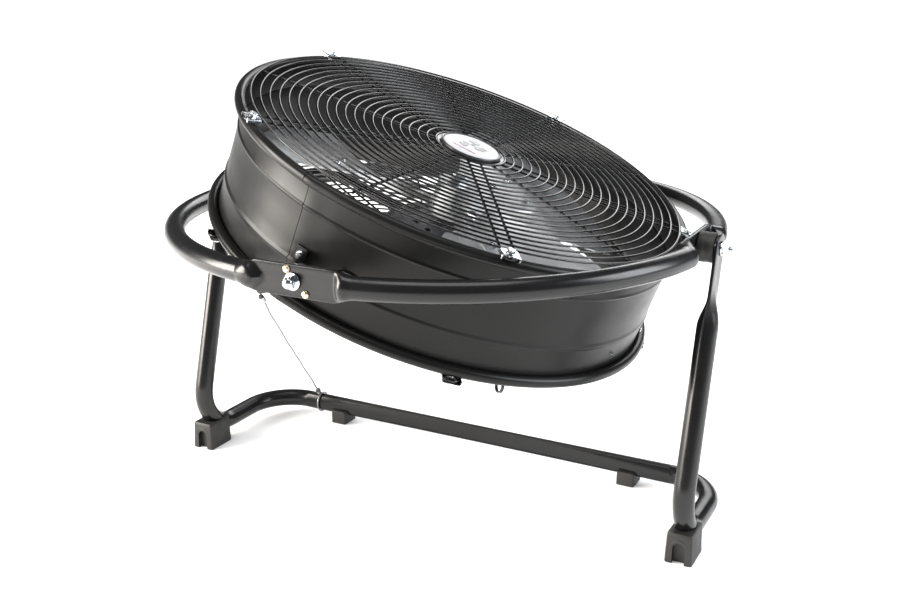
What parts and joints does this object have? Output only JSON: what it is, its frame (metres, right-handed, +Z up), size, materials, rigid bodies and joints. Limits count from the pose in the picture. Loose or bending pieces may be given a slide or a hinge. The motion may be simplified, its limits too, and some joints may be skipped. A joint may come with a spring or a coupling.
{
  "type": "tilting drum fan",
  "caption": "Floor-standing drum fan: a guarded fan drum tilts in a tubular hoop, and the hoop tilts in a bent-tube stand with rubber feet and a steel tether.",
  "frame": {"origin": "on the floor, below the middle of the two leg pivots", "axes": "+Z up, +X along the leg-pivot axis to the right leg, -Y to the side with the front feet and the front drum pivot"},
  "size_m": [0.7298, 0.6948, 0.55],
  "materials": {
    "black_paint": "satin powder coat",
    "guard_wire": "satin powder-coated wire",
    "black_rubber": "matt moulded rubber",
    "black_plastic": "fine moulded texture",
    "zinc": "bright zinc plate",
    "brass": "dull brass",
    "cable_steel": "stranded wire rope",
    "steel": "machined steel",
    "aluminium": "brushed aluminium sheet",
    "badge_white": "domed gloss",
    "badge_grey": "satin grey",
    "motor_paint": "satin dark grey paint",
    "copper": "enamelled copper winding",
    "laminations": "stacked steel laminations",
    "capacitor_white": "moulded can"
  },
  "bodies": {
    "stand": {"base_tube": "black_paint", "front_foot_left": "black_rubber", "front_foot_right": "black_rubber", "rear_pads": "black_rubber", "foot_screws": "zinc", "leg_bolts": "zinc", "leg_washers": "zinc", "leg_nuts": "zinc", "leg_spacers": "black_plastic", "tether_loop": "cable_steel", "lower_ferrule": "steel", "tether_cable": "cable_steel"},
    "hoop": {"upper_ferrule": "steel", "tether_lug": "black_paint", "hoop_tube": "black_paint", "lock_plates": "steel", "lock_plate_rivets": "brass", "drum_bolts": "zinc", "drum_bolt_washers": "zinc", "dome_nuts": "zinc", "drum_spacers": "black_plastic"},
    "drum": {"drum_shell": "black_paint", "front_guard": "guard_wire", "rear_guard": "guard_wire", "badge": "badge_white", "badge_rim": "badge_grey", "front_clamps": "zinc", "rear_clamps": "black_paint", "clamp_screws": "zinc", "clamp_nuts": "zinc", "drum_bracket_front": "black_paint", "drum_bracket_rear": "black_paint", "bracket_screws": "zinc", "motor_front_shell": "motor_paint", "motor_rear_shell": "motor_paint", "motor_screws": "zinc", "stator_core": "laminations", "stator_coils": "copper", "front_bearing": "steel", "rear_bearing": "steel", "motor_straps": "black_paint", "strap_screws": "zinc", "capacitor": "capacitor_white", "capacitor_clip": "zinc", "switch_housing": "black_plastic", "switch_housing_screws": "zinc", "rotary_switch": "black_plastic", "cable_gland": "black_plastic", "cable_tie": "black_plastic"},
    "rotor": {"shaft": "steel", "rotor_core": "steel", "hub": "aluminium", "blade_arms": "aluminium", "blade_1": "aluminium", "blade_2": "aluminium", "blade_3": "aluminium", "blade_screws": "zinc", "hub_nut": "zinc"},
    "knob": {"speed_knob": "black_plastic"}
  },
  "joints": [
    {"name": "hoop_tilt", "type": "hinge", "parent": "stand", "child": "hoop", "pos_m": [0, 0, 0.358], "axis": [1, 0, 0], "range_deg": [0, 40], "deforming": ["tether_cable"]},
    {"name": "drum_tilt", "type": "hinge", "parent": "hoop", "child": "drum", "pos_m": [0, 0, 0.358], "axis": [0, 1, 0], "range_deg": [-16, 64]},
    {"name": "fan_spin", "type": "hinge", "parent": "drum", "child": "rotor", "pos_m": [0, 0, 0.358], "axis": [0.3584, 0, 0.9336], "continuous": true},
    {"name": "knob_turn", "type": "hinge", "parent": "drum", "child": "knob", "pos_m": [-0.03584, 0, 0.26464], "axis": [-0.3584, 0, -0.9336], "range_deg": [0, 135]}
  ]
}
